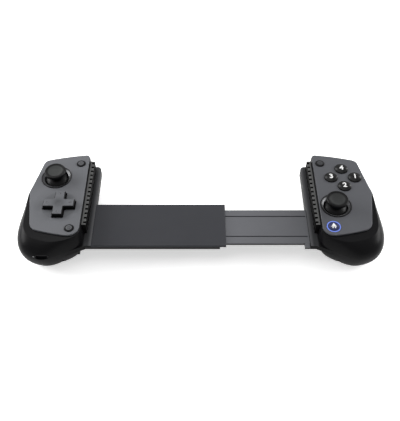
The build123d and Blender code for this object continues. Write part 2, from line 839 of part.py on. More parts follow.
def dpad_pivot():
    """Ball on a stem, whose foot stands in the mat's opening."""
    x, y = pad_place()
    z = face_z - pivot_depth
    board_z = face_z - button_board_depth
    foot_z = board_z + fit_gap / 2
    ball = Pos(x, y, z) * Sphere(pivot_ball)
    stem = rod(pivot_stem, x, y, foot_z, z)
    return ball + stem + rod(pivot_foot - fit_gap, x, y, foot_z, foot_z + pivot_foot_height)


def round_button(x, y, radius, height, bottom, flange, flange_height):
    """Domed cap with a flange that the deck holds in."""
    top, base = face_z + height, face_z - bottom
    rim = top - height / 2
    cap = rod(radius, x, y, base, rim)
    ball = (radius**2 + (height / 2) ** 2) / height
    crown = Pos(x, y, top - ball) * Sphere(ball) & rod(radius, x, y, rim, top + overrun)
    return cap + crown + rod(radius + flange, x, y, base, base + flange_height)


def face_button(number):
    x, y = face_button_places()[number]
    return round_button(x, y, face_button_radius, face_button_height, face_button_bottom,
                        face_button_flange, face_button_flange_height)


def small_button(side, number):
    x, y, radius = small_places(side)[number]
    return round_button(x, y, radius, small_height, small_bottom, small_flange, small_flange_height)


def home_ring():
    """Light ring set into the plate round the home button."""
    x, y, radius = small_places(1)[1]
    top = face_z + home_ring_proud
    ring = rod(home_ring_outer, x, y, deck_top_z, top)
    return ring - rod(radius + fit_gap, x, y, deck_top_z - overrun, top + overrun)


def bumper():
    """Shoulder button that fills its bay under the face, on a stub at its inner end."""
    divider_z, roof_z = belt_z + bay_divider, face_z - bay_roof
    piece = front_body() & bay_box(bumper_bay_up, divider_z, roof_z, bumper_gap)
    x, y = on_grip(bay_in + bumper_pivot_in, bumper_bay_up + bumper_pivot_up)
    piece &= block(plate_x, x + grip_length, y - bumper_pivot_up + bumper_room, y + grip_length, 0, face_z)
    reach = bumper_stub - fit_gap
    return piece + rod(bumper_pivot, x, y, divider_z - reach, roof_z + reach)


def trigger():
    """Curved lever with slots for the ears and the spring, bored for its pin."""
    y, z = trigger_pin_place()
    x0 = plate_x + bay_in + trigger_gap
    x1 = x0 + trigger_length
    knuckle = trigger_knuckle
    front = [(trigger_reach * out, -trigger_drop * down) for out, down in trigger_front_shares]
    palm = [(trigger_reach * out, -trigger_drop * down) for out, down in trigger_palm_shares]
    front[0] = (front[0][0], trigger_top)
    round_back = (-knuckle * sin(radians(45)), -knuckle * sin(radians(45)))
    outline = Curve() + [
        Polyline((-knuckle, 0), (-knuckle, trigger_top), front[0]),
        Spline(*front),
        Line(front[-1], palm[0]),
        Spline(*palm, (0, -knuckle)),
        ThreePointArc((0, -knuckle), round_back, (-knuckle, 0)),
    ]
    frame = Plane(origin=(x0, y, z), x_dir=(0, 1, 0), z_dir=(1, 0, 0))
    lever = extrude(make_face(frame * outline), trigger_length, dir=(1, 0, 0))
    lever = fillet(lever.edges().filter_by(Axis.Y, reverse=True).group_by(Axis.Y)[-1], case_wall / 4)
    for ear_x in ear_places():
        lever -= slot_round_pin(ear_x - fit_gap, ear_x + trigger_ear_thickness + fit_gap)
    middle = (x0 + x1) / 2
    half = trigger_spring_length / 2 + fit_gap
    lever -= slot_round_pin(middle - half, middle + half)
    return lever - rod_x(trigger_pin_radius + running_fit, x0 - overrun, x1 + overrun, y, z)


def slot_round_pin(x0, x1):
    """Room in the trigger for an ear or the spring, over the trigger's whole turn."""
    y, z = trigger_pin_place()
    room = trigger_knuckle + 2 * fit_gap
    slot = rod_x(room, x0, x1, y, z)
    return slot + block(x0, x1, y - 3 * room, y, z - 1.5 * room, z + 2 * room)


def trigger_pin():
    y, z = trigger_pin_place()
    near, far = ear_places()
    return rod_x(trigger_pin_radius, near - overrun, far + trigger_ear_thickness + overrun, y, z)


def trigger_spring():
    """Wound spring round the pin, between the ears."""
    y, z = trigger_pin_place()
    middle = plate_x + bay_in + trigger_gap + trigger_length / 2
    half = trigger_spring_length / 2
    spring = rod_x(trigger_spring_radius, middle - half, middle + half, y, z)
    bore = rod_x(trigger_pin_radius + 2 * running_fit, middle - 2 * half, middle + 2 * half, y, z)
    return spring - bore


def case_screw(x, y):
    """Screw from the back of the case up into the front half's post."""
    shoulder = face_z - screw_shoulder_depth
    screw = rod(screw_shank, x, y, shoulder - screw_head_height / 2, shoulder + screw_length)
    screw += rod(screw_head, x, y, shoulder - screw_head_height, shoulder)
    slot = Box(2 * screw_head, screw_slot_width, 2 * screw_slot_depth)
    return screw - Pos(x, y, shoulder - screw_head_height) * slot


def bridge_screw(x, y, top, length):
    """Screw down through a half of the bridge into a post of the rear shell."""
    head = rod(bridge_screw_head, x, y, top, top + bridge_screw_head_height)
    return head + rod(bridge_screw_shank, x, y, top - length, top)


def battery():
    x, y = on_grip(battery_in, battery_up)
    z = case_wall + fit_gap
    cell = block(x - battery_width / 2, x + battery_width / 2, y - battery_length / 2,
                 y + battery_length / 2, z, z + battery_thickness)
    return fillet(cell.edges().filter_by(Axis.Y), battery_thickness / 4)


def charge_port():
    """Metal shell of the charging socket with its tongue, on a small bracket board."""
    x, y = on_grip(port_in, -port_setback)
    z = face_z - port_depth
    outer = Pos(x, y, z) * extrude(slot_shape(port_width, port_height), -port_length)
    inner_shape = slot_shape(port_width - 2 * port_wall, port_height - 2 * port_wall)
    inner = Pos(x, y - overrun, z) * extrude(inner_shape, -(port_length + overrun - 2 * port_wall))
    tongue = block(x - port_tongue_width / 2, x + port_tongue_width / 2, y + port_tongue_setback,
                   y + port_length - port_wall, z - port_tongue_thickness / 2, z + port_tongue_thickness / 2)
    foot = z - port_height / 2
    board = block(x - port_width / 2, x + port_width / 2, y + 2 * case_wall, y + port_length,
                  foot - port_bracket, foot + port_wall / 2)
    return outer - inner + tongue + board


def charge_light():
    """Clear rod that carries the lamp's light to the surface."""
    x, y = on_grip(port_in + lamp_offset, -lamp_setback)
    return rod_y(lamp_radius, x, y, y + lamp_length, face_z - port_depth)


def sleeve_cover():
    """Flat top of the sleeve, flush with the left ledge."""
    half = sleeve_width / 2
    x0 = -ledge_x
    cover = block(x0, x0 + sleeve_reach, bridge_y - half, bridge_y + half,
                  belt_z - sleeve_cover_thickness, belt_z)
    return chamfer(cover.faces().sort_by(Axis.Z)[-1].edges(), plate_edge)


def sleeve_tray():
    """Lower half of the sleeve: a pocket for the slide and channels below it."""
    x0, x1 = -ledge_x, -ledge_x + sleeve_reach - sleeve_setback
    root_x = x0 - sleeve_root
    half = sleeve_width / 2 - seat_gap
    cover_z = belt_z - sleeve_cover_thickness
    tray = along_x(tray_outline(), root_x, x1, belt_z)
    tray += block(root_x, -case_x - case_wall - fit_gap, bridge_y - half, bridge_y + half,
                  belt_z - sleeve_thickness, cover_z)
    slide_half = slide_width / 2 + fit_gap
    floor_z = belt_z - slide_drop - slide_plate_thickness - slide_base_thickness - fit_gap
    tray -= block(root_x + case_wall, x1 + overrun, bridge_y - slide_half, bridge_y + slide_half,
                  floor_z, cover_z + overrun)
    middle = face_z - spring_depth
    channel = spring_channel / 2
    for y in spring_lines():
        tray -= block(root_x - overrun, x1 - case_wall, y - channel, y + channel, middle - channel, cover_z)
    tray -= block(root_x - overrun, x1 - case_wall, bridge_y - ribbon_channel / 2,
                  bridge_y + ribbon_channel / 2, middle - channel, cover_z)
    for x, y in bridge_screw_places(-1):
        tray -= rod(bridge_screw_shank + running_fit, -x, y, 0, belt_z)
        tray -= rod(bridge_screw_head + seat_gap, -x, y, cover_z - bridge_screw_head_height, belt_z)
    return tray


def slide_ends():
    """Left and right ends of the slide."""
    sleeve_end = -ledge_x + sleeve_reach
    return sleeve_end - slide_overlap, ledge_x + slide_root


def slide_plate():
    """Metal top of the slide, with two long grooves and a stop beside its root."""
    x0, x1 = slide_ends()
    half = slide_width / 2
    top = belt_z - slide_drop
    plate = block(x0, x1, bridge_y - half, bridge_y + half, top - slide_plate_thickness, top)
    plate += slide_stop(top - slide_plate_thickness, top)
    for y in (bridge_y - groove_offset, bridge_y + groove_offset):
        plate -= block(x0 - overrun, ledge_x - groove_width, y - groove_width / 2, y + groove_width / 2,
                       top - groove_depth, top + overrun)
    for x, y in bridge_screw_places(1):
        plate -= rod(bridge_screw_shank + running_fit, x, y, 0, top + overrun)
    return plate


def slide_stop(z0, z1):
    """Tab beside the slide that meets the sleeve's tray when the bridge is shut."""
    y = bridge_y - slide_width / 2
    return block(ledge_x - slide_stop_length, ledge_x - fit_gap, y - slide_stop_width, y + overrun, z0, z1)


def slide_base():
    """Lower half of the slide, with a channel for the cable and pegs for the springs."""
    x0, x1 = slide_ends()
    half = slide_width / 2
    top = belt_z - slide_drop - slide_plate_thickness
    bottom = top - slide_base_thickness
    base = block(x0, x1, bridge_y - half, bridge_y + half, bottom, top)
    base += slide_stop(bottom, top)
    base -= block(x0 - overrun, x1 + overrun, bridge_y - ribbon_channel / 2, bridge_y + ribbon_channel / 2,
                  top - 2 * ribbon_thickness, top + overrun)
    peg_z = face_z - spring_depth - spring_outer / 2
    for y in spring_lines():
        base += rod(spring_peg, x0 + spring_outer, y, peg_z, bottom)
    for x, y in bridge_screw_places(1):
        base -= rod(bridge_screw_shank + running_fit, x, y, 0, top + overrun)
    return base


def return_springs():
    """A pair of long springs from the anchors in the left grip to the slide's pegs."""
    x0 = -plate_x - spring_anchor_in + spring_anchor_post + seat_gap
    x1 = slide_ends()[0] + spring_outer - spring_peg - seat_gap
    z = face_z - spring_depth
    springs = []
    for y in spring_lines():
        tube = rod_x(spring_outer, x0, x1, y, z)
        springs.append(tube - rod_x(spring_outer - spring_wall, x0 - overrun, x1 + overrun, y, z))
    return Compound(children=springs)


def ribbon_line():
    """Middle line of the flat cable: pleats in the tray, then a straight run in the slide."""
    left, right = slide_ends()
    slide_z = belt_z - slide_drop - slide_plate_thickness - ribbon_thickness
    low = face_z - spring_depth - ribbon_fold_height / 2
    points = [(-ledge_x - sleeve_root, low + ribbon_fold_height)]
    x = -ledge_x - sleeve_root + ribbon_fold
    for number in range(ribbon_folds):
        z = low if number % 2 == 0 else low + ribbon_fold_height
        points.append((x, z))
        x += ribbon_fold
    points.append((left - ribbon_fold / 2, slide_z))
    points.append((right, slide_z))
    return points


def bridge_ribbon():
    """Flat cable between the two grips' boards."""
    half = ribbon_thickness / 2
    line = ribbon_line()
    outline = [(x, z + half) for x, z in line] + [(x, z - half) for x, z in reversed(line)]
    strip = make_face(Plane.XZ * Polyline(*outline, close=True))
    return Pos(0, bridge_y, 0) * extrude(strip, ribbon_width / 2, both=True)


def write_grip(side, word):
    """The pieces that both grips have."""
    pieces = {
        "face_plate": face_plate(side),
        "front_shell": front_shell(side),
        "rear_shell": rear_shell(side),
        "phone_pad": phone_pad(),
        "stick_ring": stick_ring(side),
        "stick_frame": stick_frame(side),
        "stick_cradle": stick_cradle(side),
        "stick_shaft": stick_shaft(side),
        "stick_cap": stick_cap(side),
        "main_board": main_board(side),
        "button_board": button_board(side),
        "top_button": small_button(side, 0),
        "bumper": bumper(),
        "trigger": trigger(),
        "trigger_pin": trigger_pin(),
        "trigger_spring": trigger_spring(),
        "screws": Compound(children=[case_screw(x, y) for x, y in screw_places()]),
    }
    for name, piece in pieces.items():
        write(f"{word}_{name}", on_side(piece, side))


write_grip(-1, "left")
write("dpad", on_side(dpad(), -1))
write("dpad_pivot", on_side(dpad_pivot(), -1))
write("dpad_mat", on_side(rubber_mat(-1), -1))
write("left_bottom_button", on_side(small_button(-1, 1), -1))
write("battery", on_side(battery(), -1))
write("charge_port", on_side(charge_port(), -1))
write("charge_light", on_side(charge_light(), -1))
write("sleeve_cover", sleeve_cover())
write("sleeve_tray", sleeve_tray())
write("return_springs", return_springs())
write("bridge_ribbon", bridge_ribbon())
sleeve_screw_top = belt_z - sleeve_cover_thickness - bridge_screw_head_height
write("sleeve_screws", Compound(children=[
    bridge_screw(-x, y, sleeve_screw_top, sleeve_screw_length) for x, y in bridge_screw_places(-1)]))

write_grip(1, "right")
for number in range(4):
    write(f"face_button_{number + 1}", face_button(number))
write("face_button_mat", rubber_mat(1))
write("home_button", small_button(1, 1))
write("home_light_ring", home_ring())
write("slide_plate", slide_plate())
write("slide_base", slide_base())
write("slide_screws", Compound(children=[
    bridge_screw(x, y, belt_z - slide_drop, slide_screw_length) for x, y in bridge_screw_places(1)]))
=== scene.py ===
from math import cos, pi, radians

import bpy
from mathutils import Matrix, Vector


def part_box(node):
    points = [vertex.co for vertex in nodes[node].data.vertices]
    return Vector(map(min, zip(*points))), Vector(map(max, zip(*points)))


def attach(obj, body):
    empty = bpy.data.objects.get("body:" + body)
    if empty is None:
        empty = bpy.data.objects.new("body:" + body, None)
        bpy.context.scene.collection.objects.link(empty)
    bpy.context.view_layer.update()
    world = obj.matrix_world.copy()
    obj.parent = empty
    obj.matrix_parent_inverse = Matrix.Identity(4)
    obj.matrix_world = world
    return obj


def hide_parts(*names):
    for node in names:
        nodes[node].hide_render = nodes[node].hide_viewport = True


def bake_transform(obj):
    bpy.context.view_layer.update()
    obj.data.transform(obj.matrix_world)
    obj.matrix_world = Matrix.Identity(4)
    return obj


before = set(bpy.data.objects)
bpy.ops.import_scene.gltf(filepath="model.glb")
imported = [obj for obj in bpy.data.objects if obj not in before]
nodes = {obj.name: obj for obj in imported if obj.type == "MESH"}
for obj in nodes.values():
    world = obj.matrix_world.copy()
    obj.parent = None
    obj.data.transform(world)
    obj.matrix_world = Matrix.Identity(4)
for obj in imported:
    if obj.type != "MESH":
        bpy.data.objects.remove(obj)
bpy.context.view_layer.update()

mm = 0.001
scene = bpy.context.scene
print("frame loaded:", len(nodes), "parts")


# Camera, lamps and floor

camera = {
    "place": (-0.0006, -0.3099, 0.3780),
    "tilt": radians(40.6),       # from straight down
    "lens": 54.73,
}
studio = {
    "leftBox": {"place": (-0.62, 0.22, 0.26), "aim": (-0.12, 0.0, 0.02),
                "size": (0.6, 0.25), "power": 5.0},
    "rightBox": {"place": (0.62, 0.22, 0.26), "aim": (0.12, 0.0, 0.02),
                 "size": (0.6, 0.25), "power": 5.0},
    "backBox": {"place": (-0.22, 0.80, 1.0), "aim": (0.0, 0.0, 0.02),
                "size": (0.36, 0.30), "power": 1.9},
}
sunlight = {"from": (-0.35, 0.25, 1.0), "strength": 0.78, "spread": radians(65)}
backdrop = {
    "colour": (0.90, 0.90, 0.90), "rough": 0.9, "specular": 0.1,
    "half": 3.0, "below": 0.0002,    # half its width, and how far it lies under the object
    "sky": 0.32,     # the sky's light
    "lift": 0.55,    # the floor's glow where it is seen
}


def placeCamera():
    data = bpy.data.cameras.new("camera")
    data.lens = camera["lens"]
    eye = bpy.data.objects.new("camera", data)
    eye.location = camera["place"]
    eye.rotation_euler = (camera["tilt"], 0, 0)
    scene.collection.objects.link(eye)
    scene.camera = eye


def hangLamp(name, look):
    data = bpy.data.lights.new(name, "AREA")
    data.shape = "RECTANGLE"
    data.size, data.size_y = look["size"]
    data.energy = look["power"]
    lamp = bpy.data.objects.new(name, data)
    lamp.location = look["place"]
    away = Vector(look["place"]) - Vector(look["aim"])
    lamp.rotation_euler = away.to_track_quat("Z", "Y").to_euler()
    scene.collection.objects.link(lamp)


def hangSun():
    data = bpy.data.lights.new("softSun", "SUN")
    data.energy = sunlight["strength"]
    data.angle = sunlight["spread"]
    sun = bpy.data.objects.new("softSun", data)
    sun.rotation_euler = Vector(sunlight["from"]).to_track_quat("Z", "Y").to_euler()
    scene.collection.objects.link(sun)


def whereSeen(tree, unseen, seen):
    # one strength where it is seen, straight, mirrored or through a clear piece,
    # and another for the light that it sends out
    path = tree.nodes.new("ShaderNodeLightPath")
    look = path.outputs["Is Camera Ray"]
    for ray in ("Is Glossy Ray", "Is Transmission Ray"):
        either = tree.nodes.new("ShaderNodeMath")
        either.operation = "MAXIMUM"
        tree.links.new(look, either.inputs[0])
        tree.links.new(path.outputs[ray], either.inputs[1])
        look = either.outputs[0]
    strength = tree.nodes.new("ShaderNodeMapRange")
    strength.inputs["To Min"].default_value = unseen
    strength.inputs["To Max"].default_value = seen
    tree.links.new(look, strength.inputs["Value"])
    return strength.outputs["Result"]


def layFloor():
    bpy.ops.mesh.primitive_plane_add(size=2 * backdrop["half"], location=(0, 0, -backdrop["below"]))
    floor = bpy.context.active_object
    floor.name = "floor"
    material = bpy.data.materials.new("paleFloor")
    material.use_nodes = True
    tree = material.node_tree
    shader = tree.nodes["Principled BSDF"]
    shader.inputs["Base Color"].default_value = (*backdrop["colour"], 1)
    shader.inputs["Roughness"].default_value = backdrop["rough"]
    shader.inputs["Specular IOR Level"].default_value = backdrop["specular"]
    # a little glow lifts the floor to white wherever it is seen
    shader.inputs["Emission Color"].default_value = (1, 1, 1, 1)
    tree.links.new(whereSeen(tree, 0, backdrop["lift"]), shader.inputs["Emission Strength"])
    floor.data.materials.append(material)


def lightSky():
    world = bpy.data.worlds.new("sky")
    scene.world = world
    world.use_nodes = True
    tree = world.node_tree
    soft = tree.nodes["Background"]
    soft.inputs["Color"].default_value = (1, 1, 1, 1)
    tree.links.new(whereSeen(tree, backdrop["sky"], 1), soft.inputs["Strength"])


scene.view_settings.view_transform = "Standard"
placeCamera()
for name, look in studio.items():
    hangLamp(name, look)
hangSun()
layFloor()
lightSky()
print("camera, lamps and floor placed")


# Finishes: each has its grain, its own colour drift and a bump of its own size.
# A layer is another colour inside some limits: along an axis, or round a place on the face. Some
# layers are painted highlight or painted shade, and say so where they stand.
# Limits are in mm: "none" is where the layer ends, "full" where it is whole.


def middleOf(node):
    low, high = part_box(node)
    return (low + high) / 2


def placeOf(node):
    middle = middleOf(node)
    return middle.x / mm, middle.y / mm


def roundAbout(node, none, full):
    # radii round the node's middle
    return {"centre": placeOf(node), "none": none, "full": full}


def belowTop(node, none, full):
    # depths under the node's top
    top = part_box(node)[1].z / mm
    return {"axis": "Z", "none": top - none, "full": top - full}


def sideways(none, full):
    # distances to the left and right of the object's middle
    return {"axis": "X", "none": none, "full": full}


black = (0.0030, 0.0030, 0.0033)
darkGrey = (0.005, 0.005, 0.0055)
padGrey = (0.112, 0.115, 0.124)
ledgeTop = belowTop("left_rear_shell", 0.4, 0.2)

finishes = {
    # the two face plates share one grey: the left is a lit copy with painted highlight, the right a
    # shaded copy with painted shade
    "plateLeft": {"dark": (0.104, 0.107, 0.116), "light": (0.118, 0.121, 0.131), "patch": 60,
                  "rough": (0.44, 0.54), "grain": 2600, "depth": 0.010, "specular": 0.15,
                  "layers": [{"where": [roundAbout("dpad", 13.2, 12.4)],
                              "colour": (0.097, 0.100, 0.108)}]},
    "plateRight": {"dark": (0.067, 0.069, 0.076), "light": (0.077, 0.079, 0.087), "patch": 60,
                   "rough": (0.44, 0.54), "grain": 2600, "depth": 0.010, "specular": 0.15},
    "frontBlack": {"dark": (0.0024, 0.0024, 0.0028), "light": (0.0042, 0.0042, 0.0048), "patch": 45,
                   "rough": (0.30, 0.37), "grain": 2200, "depth": 0.006, "specular": 0.06},
    "caseBlack": {"dark": (0.0036, 0.0036, 0.0040), "light": (0.0060, 0.0060, 0.0066), "patch": 50,
                  "rough": (0.44, 0.54), "grain": 1500, "depth": 0.018, "specular": 0.15},
    "rearBlack": {"dark": (0.0036, 0.0036, 0.0040), "light": (0.0060, 0.0060, 0.0066), "patch": 50,
                  "rough": (0.42, 0.50), "grain": 1500, "depth": 0.014, "specular": 0.07,
                  # the ledge's top is painted light: a pale painted highlight along its inner edge,
                  # fading through painted shade to black towards the phone pad
                  "layers": [{"where": [sideways(84.4, 83.2), ledgeTop],
                              "colour": (0.034, 0.035, 0.037)},
                             {"where": [sideways(81.0, 78.6), ledgeTop],
                              "colour": (0.090, 0.091, 0.096)}]},
    "sleeveGrey": {"dark": (0.030, 0.031, 0.036), "light": (0.037, 0.038, 0.043), "patch": 40,
                   "rough": (0.50, 0.58), "grain": 2400, "depth": 0.010, "specular": 0.12},
    "slideMetal": {"dark": (0.076, 0.078, 0.086), "light": (0.092, 0.094, 0.103), "patch": 50,
                   "rough": (0.36, 0.46), "grain": 1800, "depth": 0.006, "specular": 0.4,
                   "stretch": (0.03, 1, 1), "metallic": 0.4},
    "matRubber": {"dark": (0.05, 0.05, 0.052), "light": (0.07, 0.07, 0.072), "patch": 120,
                  "rough": (0.6, 0.7), "grain": 2400, "depth": 0.02, "specular": 0.3},
    "buttonBlack": {"dark": (0.0012, 0.0012, 0.0015), "light": (0.0022, 0.0022, 0.0026),
                    "patch": 150, "rough": (0.16, 0.22), "grain": 900, "depth": 0.002,
                    "specular": 0.16},
    "combGreyTopShadedSides": {"dark": black, "light": (0.005, 0.005, 0.005), "patch": 120,
                 "rough": (0.55, 0.65), "grain": 2400, "depth": 0.012, "specular": 0.08,
                 # only the teeth's tops are grey; their sides and the gaps between them are left
                 # black as painted shade
                 "layers": [{"where": [belowTop("left_phone_pad", 0.25, 0.1), sideways(85.0, 84.8)],
                             "colour": (0.110, 0.111, 0.110)}]},
    "dpadGrey": {"dark": black, "light": darkGrey, "patch": 120,
                 "rough": (0.40, 0.50), "grain": 2600, "depth": 0.010, "specular": 0.08,
                 # the flat top is grey; its edge chamfers stay black as painted shade, and the top
                 # darkens towards its hollow middle as painted shade
                 "layers": [{"where": [belowTop("dpad", 0.16, 0.08)], "colour": padGrey},
                            {"where": [roundAbout("dpad", 2.35, 2.2)], "colour": padGrey},
                            {"where": [roundAbout("dpad", 7.0, 1.0), belowTop("dpad", 0.34, 0.27)],
                             "share": 0.55, "colour": (0.045, 0.046, 0.049)}]},
    "navyGloss": {"dark": (0.006, 0.010, 0.055), "light": (0.009, 0.015, 0.080), "patch": 200,
                  "rough": (0.28, 0.36), "grain": 900, "depth": 0.002, "specular": 0.3},
    "glowBlue": {"dark": (0.012, 0.020, 0.110), "light": (0.018, 0.028, 0.140), "patch": 300,
                 "rough": (0.25, 0.35), "grain": 900, "depth": 0.002, "specular": 0.4, "glow": 0.35,
                 "layers": [{"where": [roundAbout("home_light_ring", 4.15, 4.35)],
                             "colour": (0.13, 0.20, 0.62)}]},
    "boardGreen": {"dark": (0.008, 0.060, 0.028), "light": (0.014, 0.095, 0.045), "patch": 220,
                   "rough": (0.3, 0.42), "grain": 900, "depth": 0.01, "specular": 0.5},
    "steel": {"dark": (0.42, 0.42, 0.43), "light": (0.56, 0.56, 0.57), "patch": 300,
              "rough": (0.24, 0.36), "grain": 1600, "depth": 0.006, "specular": 0.5,
              "metallic": 1.0},
    "cellFoil": {"dark": (0.34, 0.34, 0.35), "light": (0.48, 0.48, 0.49), "patch": 160,
                 "rough": (0.35, 0.5), "grain": 500, "depth": 0.03, "specular": 0.5,
                 "metallic": 0.8},
    "cableAmber": {"dark": (0.36, 0.17, 0.03), "light": (0.50, 0.26, 0.06), "patch": 200,
                   "rough": (0.3, 0.4), "grain": 900, "depth": 0.004, "specular": 0.5},
    "portMetal": {"dark": (0.008, 0.008, 0.009), "light": (0.014, 0.014, 0.016), "patch": 300,
                  "rough": (0.40, 0.50), "grain": 1600, "depth": 0.006, "specular": 0.15,
                  "metallic": 0.3},
    "lampClear": {"dark": (0.20, 0.21, 0.22), "light": (0.27, 0.28, 0.29), "patch": 400,
                  "rough": (0.15, 0.25), "grain": 1600, "depth": 0.002, "specular": 0.5},
    "printWhite": {"dark": (0.70, 0.70, 0.70), "light": (0.84, 0.84, 0.83), "patch": 500,
                   "rough": (0.30, 0.38), "grain": 2500, "depth": 0.003, "specular": 0.4},
    "printGrey": {"dark": (0.016, 0.016, 0.018), "light": (0.022, 0.022, 0.024), "patch": 500,
                  "rough": (0.45, 0.55), "grain": 2500, "depth": 0.003, "specular": 0.3},
}

# pale dots on the arms of the direction pad: a painted highlight on their small bumps
padDotHighlight = {"out": 8.4, "none": 0.70, "full": 0.45, "colour": (0.30, 0.30, 0.31)}
padX, padY = placeOf("dpad")
for stepX, stepY in ((1, 0), (0, 1), (-1, 0), (0, -1)):
    place = (padX + padDotHighlight["out"] * stepX, padY + padDotHighlight["out"] * stepY)
    dot = {"centre": place, "none": padDotHighlight["none"], "full": padDotHighlight["full"]}
    finishes["dpadGrey"]["layers"].append({"where": [dot], "colour": padDotHighlight["colour"]})

# small buttons: a grey face inside a black border, which is painted shade for the dark gap round
# each button
shadeRimmed = {"dark": black, "light": darkGrey, "patch": 150,
          "rough": (0.38, 0.46), "grain": 2600, "depth": 0.008, "specular": 0.08}
faceGreys = {"left_top_button": (0.100, 0.102, 0.110), "left_bottom_button": (0.112, 0.115, 0.123),
             "right_top_button": (0.050, 0.051, 0.055)}
for node, grey in faceGreys.items():
    face = {"where": [roundAbout(node, 2.25, 1.9)], "colour": grey}
    finishes[node + "Face"] = {**shadeRimmed, "layers": [face]}

# thumbsticks: a black cap with a paler dish, which is painted sheen, darker on the right cap as
# painted shade; and a glossy grey ring with a black border, which is painted shade for the gap
# round it
rubber = {"dark": (0.0015, 0.0015, 0.0017), "light": (0.003, 0.003, 0.0034), "patch": 150,
          "rough": (0.32, 0.42), "grain": 3200, "depth": 0.010, "specular": 0.09}
gloss = {"dark": (0.075, 0.076, 0.080), "light": (0.095, 0.096, 0.100), "patch": 120,
         "rough": (0.26, 0.34), "grain": 1500, "depth": 0.002, "specular": 0.15, "metallic": 0.3}
ringGapShade = (0.010, 0.010, 0.011)
dishSheenGreys = {"left": (0.036, 0.038, 0.037), "right": (0.025, 0.026, 0.026)}
for word, grey in dishSheenGreys.items():
    cap = f"{word}_stick_cap"
    # the dish's paler grey is a painted sheen on the cap's top
    dish = {"where": [roundAbout(cap, 6.0, 5.0), belowTop(cap, 1.6, 1.2)], "colour": grey}
    finishes[word + "Stick"] = {**rubber, "layers": [dish]}
    # the ring's black outer border is painted shade for the gap round it
    rim = {"where": [roundAbout(f"{word}_stick_ring", 10.1, 10.4)], "colour": ringGapShade}
    finishes[word + "Ring"] = {**gloss, "layers": [rim]}

noiseDetail = {"patch": 3, "grain": 2}    # how fine the drift and the grain are broken up


def limitMask(tree, coords, limit):
    # 0 at one end of a stretch and 1 at the other, along an axis or away from a place
    if "centre" in limit:
        shift = tree.nodes.new("ShaderNodeMapping")
        x, y = limit["centre"]
        shift.inputs["Location"].default_value = (-x * mm, -y * mm, 0)
        shift.inputs["Scale"].default_value = (1, 1, 0)
        tree.links.new(coords.outputs["Object"], shift.inputs["Vector"])
        reach = tree.nodes.new("ShaderNodeVectorMath")
        reach.operation = "LENGTH"
        tree.links.new(shift.outputs["Vector"], reach.inputs[0])
        along = reach.outputs["Value"]
    else:
        split = tree.nodes.new("ShaderNodeSeparateXYZ")
        tree.links.new(coords.outputs["Object"], split.inputs["Vector"])
        size = tree.nodes.new("ShaderNodeMath")
        size.operation = "ABSOLUTE"
        tree.links.new(split.outputs[limit["axis"]], size.inputs[0])
        along = size.outputs[0]
    edge = tree.nodes.new("ShaderNodeMapRange")
    edge.interpolation_type = "SMOOTHSTEP"
    edge.inputs["From Min"].default_value = limit["none"] * mm
    edge.inputs["From Max"].default_value = limit["full"] * mm
    tree.links.new(along, edge.inputs["Value"])
    return edge.outputs["Result"]


def layerMask(tree, coords, layer):
    # all the layer's limits multiplied, and its share
    share = None
    for limit in layer["where"]:
        mask = limitMask(tree, coords, limit)
        both = tree.nodes.new("ShaderNodeMath")
        both.operation = "MULTIPLY"
        tree.links.new(mask, both.inputs[0])
        if share is None:
            both.inputs[1].default_value = layer.get("share", 1)
        else:
            tree.links.new(share, both.inputs[1])
        share = both.outputs[0]
    return share


def blendColour(tree, share, below, above):
    mix = tree.nodes.new("ShaderNodeMix")
    mix.data_type = "RGBA"
    tree.links.new(share, mix.inputs["Factor"])
    for socket, value in (("A", below), ("B", above)):
        if isinstance(value, tuple):
            mix.inputs[socket].default_value = (*value, 1)
        else:
            tree.links.new(value, mix.inputs[socket])
    return mix.outputs["Result"]


def addNoise(tree, place, scale, detail):
    noise = tree.nodes.new("ShaderNodeTexNoise")
    noise.inputs["Scale"].default_value = scale
    noise.inputs["Detail"].default_value = detail
    tree.links.new(place, noise.inputs["Vector"])
    return noise.outputs["Fac"]


def newFinish(name, look):
    material = bpy.data.materials.new(name)
    material.use_nodes = True
    tree = material.node_tree
    shader = tree.nodes["Principled BSDF"]
    coords = tree.nodes.new("ShaderNodeTexCoord")
    stretch = tree.nodes.new("ShaderNodeMapping")
    stretch.inputs["Scale"].default_value = look.get("stretch", (1, 1, 1))
    tree.links.new(coords.outputs["Object"], stretch.inputs["Vector"])
    patch = addNoise(tree, coords.outputs["Object"], look["patch"], noiseDetail["patch"])
    grain = addNoise(tree, stretch.outputs["Vector"], look["grain"], noiseDetail["grain"])
    tone = blendColour(tree, patch, look["dark"], look["light"])
    for layer in look.get("layers", []):
        tone = blendColour(tree, layerMask(tree, coords, layer), tone, layer["colour"])
    tree.links.new(tone, shader.inputs["Base Color"])
    rough = tree.nodes.new("ShaderNodeMapRange")
    rough.inputs["To Min"].default_value, rough.inputs["To Max"].default_value = look["rough"]
    tree.links.new(grain, rough.inputs["Value"])
    tree.links.new(rough.outputs["Result"], shader.inputs["Roughness"])
    bump = tree.nodes.new("ShaderNodeBump")
    bump.inputs["Distance"].default_value = look["depth"] * mm
    tree.links.new(grain, bump.inputs["Height"])
    tree.links.new(bump.outputs["Normal"], shader.inputs["Normal"])
    shader.inputs["Specular IOR Level"].default_value = look["specular"]
    shader.inputs["Metallic"].default_value = look.get("metallic", 0)
    if "glow" in look:
        tree.links.new(tone, shader.inputs["Emission Color"])
        shader.inputs["Emission Strength"].default_value = look["glow"]
    return material


materials = {name: newFinish(name, look) for name, look in finishes.items()}


# Which finish each CAD node takes

